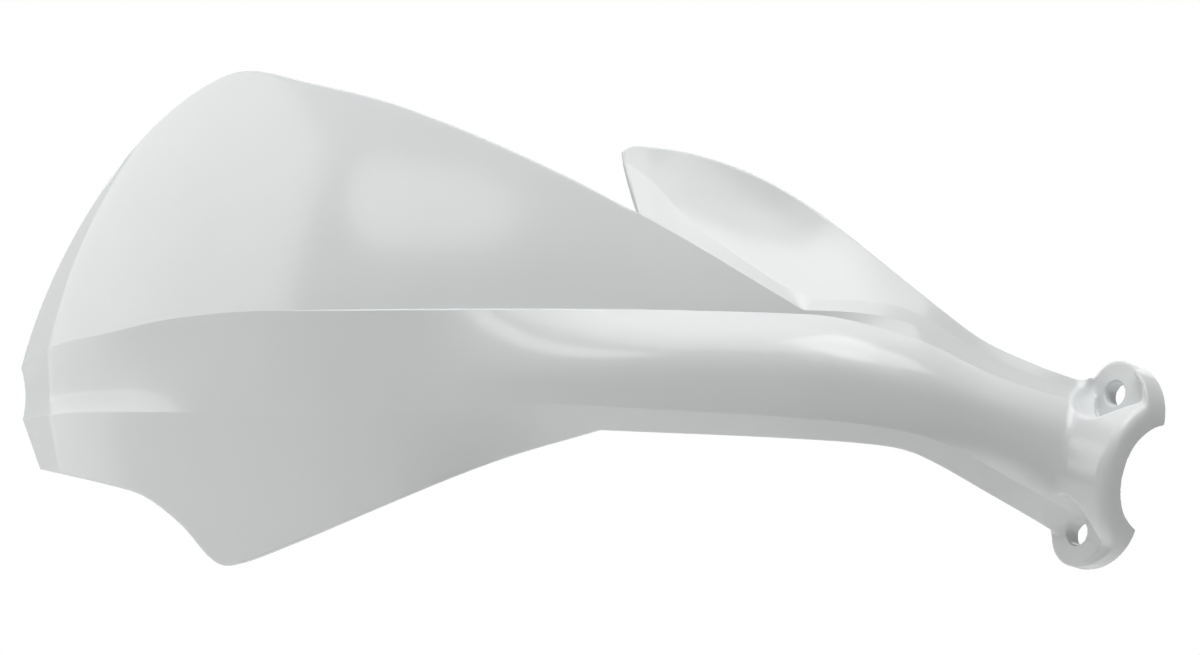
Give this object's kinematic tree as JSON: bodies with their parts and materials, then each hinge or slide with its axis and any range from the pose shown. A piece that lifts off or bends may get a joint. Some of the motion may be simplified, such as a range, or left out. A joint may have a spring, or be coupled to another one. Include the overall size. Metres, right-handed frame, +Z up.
{
  "type": "motorcycle hand guard",
  "caption": "White moulded hand guard for a motorcycle: swept shield with a fin, hollow arm and half clamp that bolts to the handlebar.",
  "frame": {"origin": "on the handlebar's axis, midway between the two clamp bolts", "axes": "+X inboard along the guard, +Z up, -Y forwards and away from the rider; the handlebar's axis is turned from +X about +Z and +Y by the clamp's angles"},
  "size_m": [0.2976, 0.1189, 0.1301],
  "materials": {
    "white_plastic": "glossy injection moulding, smooth, left in its moulded colour"
  },
  "bodies": {
    "root": {"hand_guard": "white_plastic"}
  },
  "joints": []
}
